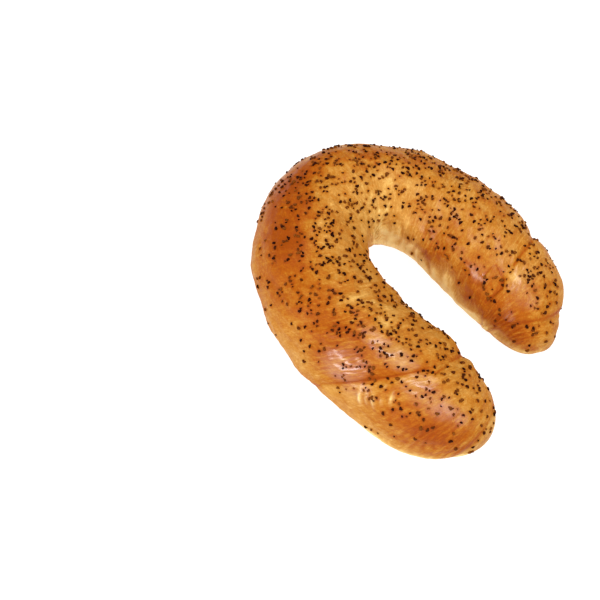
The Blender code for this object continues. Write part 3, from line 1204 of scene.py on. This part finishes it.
tree_input("Crust", "NodeSocketGeometry")
input_names = {
    "Length": tree_input("Length", "NodeSocketFloat", SEED_LENGTH),
    "Gap": tree_input("Gap", "NodeSocketFloat", SEED_GAP),
    "Density": tree_input("Density", "NodeSocketFloat", SEED_DENSITY),
    "Draw": tree_input("Draw", "NodeSocketInt", SEED_DRAW),
    "Finish": tree_input("Finish", "NodeSocketMaterial"),
}
seed_group.interface.new_socket(name="Seeds", in_out="OUTPUT", socket_type="NodeSocketGeometry")
tree = Tree(seed_group)
given = tree.node("NodeGroupInput")
print("the seed tree's inputs are", ", ".join(input_names))

# %% [markdown]
# One seed is a small ball, flattened, slimmed and bent sideways, which makes it a kidney. It has only forty
# faces, because there will be more than a thousand of it. Its lower part is sunk in the glaze.

# %% One seed
SEED_SEGMENTS = 8
SEED_RINGS = 5
SEED_WIDTH = 0.62  # over its length, which is 1 here
SEED_HEIGHT = 0.65
SEED_BEND = 0.35  # how far its middle is pushed sideways, over its width
SEED_SUNK = 0.38  # share of the height that is stuck in the glaze

ball_inputs = {"Segments": SEED_SEGMENTS, "Rings": SEED_RINGS, "Radius": 0.5}
ball = tree.node("GeometryNodeMeshUVSphere", {}, ball_inputs, "Mesh")
place = tree.node("GeometryNodeInputPosition")
along = tree.node("ShaderNodeSeparateXYZ", {}, {"Vector": place}, "X")
bend = (along * along * 4.0 - 0.5) * (SEED_BEND * SEED_WIDTH)
shift = tree.node("ShaderNodeCombineXYZ", {}, {"Y": bend})
kidney = place * (1.0, SEED_WIDTH, SEED_HEIGHT) + shift + (0.0, 0.0, SEED_HEIGHT * (0.5 - SEED_SUNK))
bent_ball = tree.node("GeometryNodeSetPosition", {}, {"Geometry": ball, "Position": kidney})
seed_inputs = {"Geometry": bent_ball, "Shade Smooth": True}
one_seed = tree.node("GeometryNodeSetShadeSmooth", {}, seed_inputs)
SEED_POINTS = SEED_SEGMENTS * (SEED_RINGS - 1) + 2
print(f"one seed has {SEED_POINTS} points and {SEED_SEGMENTS * SEED_RINGS} faces")

# %% [markdown]
# The points come from a Poisson spread, which drops points at random and takes away those that lie too close.
# Each point knows the crust's slope, and the seed lies flat on it, spun any way round and tilted a little.

# %% Points, turns and sizes
SEED_TILT = 0.35  # radians, either way
SMALLEST_SEED = 0.60  # over the usual length
LARGEST_SEED = 1.40
SPIN_DRAW = 1
SIZE_DRAW = 2
TONE_DRAW = 3

share_inputs = {"Name": "seed_share"}
share = tree.node("GeometryNodeInputNamedAttribute", {"data_type": "FLOAT"}, share_inputs, "Attribute")
spread_inputs = {
    "Mesh": given.beside("Crust"),
    "Distance Min": given.beside("Gap"),
    "Density Max": given.beside("Density"),
    "Density Factor": share,
    "Seed": given.beside("Draw"),
}
poisson = {"distribute_method": "POISSON"}
spread = tree.node("GeometryNodeDistributePointsOnFaces", poisson, spread_inputs, "Points")
spin_inputs = {
    "Min": (-SEED_TILT, -SEED_TILT, 0.0),
    "Max": (SEED_TILT, SEED_TILT, 2 * math.pi),
    "Seed": SPIN_DRAW,
}
spin = tree.node("FunctionNodeRandomValue", {"data_type": "FLOAT_VECTOR"}, spin_inputs, "Value")
spun = tree.node("FunctionNodeEulerToRotation", {}, {"Euler": spin})
turn_inputs = {"Rotation": spread.beside("Rotation"), "Rotate By": spun}
turned = tree.node("FunctionNodeRotateRotation", {"rotation_space": "LOCAL"}, turn_inputs)


def random_number(low, high, draw):
    """A random number for each seed. Sockets 2 and 3 hold this node's lowest and highest numbers."""
    return tree.node("FunctionNodeRandomValue", {"data_type": "FLOAT"}, {2: low, 3: high, "Seed": draw}, 1)


size = random_number(SMALLEST_SEED, LARGEST_SEED, SIZE_DRAW) * given.beside("Length")
tone = random_number(0.0, 1.0, TONE_DRAW)
seed_lengths = [SEED_LENGTH * factor * 1000 for factor in (SMALLEST_SEED, LARGEST_SEED)]
print("the seeds are about {:.1f} to {:.1f} mm long".format(*seed_lengths))

# %% [markdown]
# The seed is set on every point as an instance, which costs almost nothing, and its tone is stored on the
# instance. At the end the instances are made real, because other programs know only real meshes.

# %% End of the seed tree
instance_inputs = {"Points": spread, "Instance": one_seed, "Rotation": turned, "Scale": size}
placed = tree.node("GeometryNodeInstanceOnPoints", {}, instance_inputs)
tone_settings = {"data_type": "FLOAT", "domain": "INSTANCE"}
tone_inputs = {"Geometry": placed, "Name": "seed_tone", "Value": tone}
toned = tree.node("GeometryNodeStoreNamedAttribute", tone_settings, tone_inputs)
real = tree.node("GeometryNodeRealizeInstances", {}, {"Geometry": toned})
finish_inputs = {"Geometry": real, "Material": given.beside("Finish")}
finished = tree.node("GeometryNodeSetMaterial", {}, finish_inputs)
tree.node("NodeGroupOutput", {}, {"Seeds": finished})
print("the seed tree has", len(seed_group.nodes), "nodes")

# %% [markdown]
# ## The seeds as a mesh of their own
#
# The tree runs as a modifier on a copy of the crust. What the modifier makes is then kept as a plain mesh,
# and the copy is thrown away, so nothing is left that a later step would have to work out again.

# %% Strewn seeds
def strew_seeds():
    """The seeds as a plain mesh object."""
    carrier = in_scene("strewing", crust_data.copy())
    modifier = carrier.modifiers.new("strew", "NODES")
    modifier.node_group = seed_group
    modifier[input_names["Finish"]] = seed_finish
    seen = carrier.evaluated_get(bpy.context.evaluated_depsgraph_get())
    data = bpy.data.meshes.new_from_object(seen)
    carrier.modifiers.remove(modifier)
    bpy.data.objects.remove(carrier, do_unlink=True)
    data.name = "poppy_seeds"
    return in_scene("poppy_seeds", data)


seeds = strew_seeds()
print(f"{len(seeds.data.vertices) / SEED_POINTS:.0f} seeds, {len(seeds.data.loop_triangles)} triangles")

# %% [markdown]
# Now that the seeds lie, the crust can be told where: the browner halo round a seed's foot, partly pooled egg
# and partly painted contact shade, is the distance to the nearest seed's middle. A k-d tree finds it without
# measuring the distance to every seed.

# %% Halos
HALO_WIDTH = 0.00085


def halo_round(seed_data, places):
    """1 under a seed, fading beside it, for each place on the crust."""
    co = np.empty(len(seed_data.vertices) * 3, dtype=np.float32)
    seed_data.vertices.foreach_get("co", co)
    centres = co.reshape(-1, SEED_POINTS, 3).mean(axis=1)
    finder = KDTree(len(centres))
    for number, centre in enumerate(centres):
        finder.insert(centre, number)
    finder.balance()
    far = np.array([finder.find(place)[2] for place in places])
    return np.exp(-((far / HALO_WIDTH) ** 2))


halos = halo_round(seeds.data, points)
store(crust_data, "seed_halo", halos)
print(f"{(halos > 0.5).mean() * 100:.0f} % of the crust's points lie under or beside a seed")

# %% [markdown]
# ## The studio: a light table
#
# The roll lies on a pale floor that glows a little, like a photographer's light table. An ordinary white
# floor would need much more light from above, which would bleach the crust, and would show a hard shadow. The
# glow leaves hardly any, and lights the lower sides and the inside of the bend from below.

# %% Floor
FLOOR_SIZE = 4.0
FLOOR_GLOW = 0.95
FLOOR_GREY = (0.3, 0.3, 0.3, 1)
FLOOR_ROUGHNESS = 0.9
FLOOR_IOR = 1.1

half = FLOOR_SIZE / 2
floor_data = bpy.data.meshes.new("floor")
floor_corners = [(-half, -half, 0), (half, -half, 0), (half, half, 0), (-half, half, 0)]
floor_data.from_pydata(floor_corners, [], [(0, 1, 2, 3)])
floor = in_scene("floor", floor_data)
floor_finish, tree = new_material("studio_floor")
inputs = {"Base Color": FLOOR_GREY, "Roughness": FLOOR_ROUGHNESS, "IOR": FLOOR_IOR}
inputs |= {"Emission Color": (1.0, 1.0, 1.0, 1), "Emission Strength": FLOOR_GLOW}
shader = tree.node("ShaderNodeBsdfPrincipled", {}, inputs)
tree.node("ShaderNodeOutputMaterial", {}, {"Surface": shader})
floor_data.materials.append(floor_finish)
print(f"the floor is {FLOOR_SIZE:.0f} m wide")

# %% [markdown]
# ## The studio: lights and room
#
# Five square soft lights look at the roll, all of nearly the same power. The smaller a light, the sharper the
# shine it draws: a small one low on the left and one nearly overhead draw the shine on the folds and the
# shoulders, and a middling one high in front brings out the roundness. Two wide ones, on the right and beside
# the camera, soften what is left in the shade. The room itself is dim, so that the glaze mirrors the lights
# and not the walls. The view transform is the plain one, which keeps colours as they are.

# %% Lights
class SoftLight(NamedTuple):
    """A square light that looks at the roll."""

    name: str
    width: float
    power: float  # watts
    round: float  # degrees to the right of the line in front of the arms' ends
    height: float  # degrees above the floor
    distance: float


LIGHTS = (
    SoftLight("front_light", 0.7, 5.1, 6, 46, 1.2),
    SoftLight("side_light", 0.34, 4.9, -100, 27, 1.0),
    SoftLight("fill_light", 1.2, 4.2, 95, 30, 1.2),
    SoftLight("camera_light", 1.2, 4.2, -48, 36, 1.2),
    SoftLight("top_light", 0.32, 5.0, 150, 83, 1.0),
)
LIGHTS_AIM = Vector((0, 0, 0.02))

for light in LIGHTS:
    lamp = bpy.data.lights.new(light.name, "AREA")
    lamp.shape = "SQUARE"
    lamp.size = light.width
    lamp.energy = light.power
    turns_round = math.radians(light.round)
    stands_high = math.radians(light.height)
    in_scene(light.name, lamp).matrix_world = looking_at(LIGHTS_AIM, light.distance, turns_round, stands_high)
print(f"{len(LIGHTS)} lights, {sum(light.power for light in LIGHTS):.0f} W together")

# %% Room and view
ROOM_GREY = (0.15, 0.15, 0.15, 1)

world = bpy.data.worlds.new("studio")
bpy.context.scene.world = world
world.use_nodes = True
world.node_tree.nodes.clear()
tree = Tree(world.node_tree)
background = tree.node("ShaderNodeBackground", {}, {"Color": ROOM_GREY, "Strength": 1.0})
tree.node("ShaderNodeOutputWorld", {}, {"Surface": background})

bpy.context.scene.view_settings.view_transform = "Standard"
bpy.context.scene.view_settings.look = "None"
print("the view transform is", bpy.context.scene.view_settings.view_transform)

# %% [markdown]
# ## Handing the pieces over
#
# The crust and the seeds ride on the roll's only body and together replace the imported solid, whose seeds are
# part of it.

# %% Put in place
for piece, finish in ((crust, "glazed_crust"), (seeds, "poppy_seed")):
    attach(piece, "root")
    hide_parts(NODE)
    print(piece.name, "replaces", NODE)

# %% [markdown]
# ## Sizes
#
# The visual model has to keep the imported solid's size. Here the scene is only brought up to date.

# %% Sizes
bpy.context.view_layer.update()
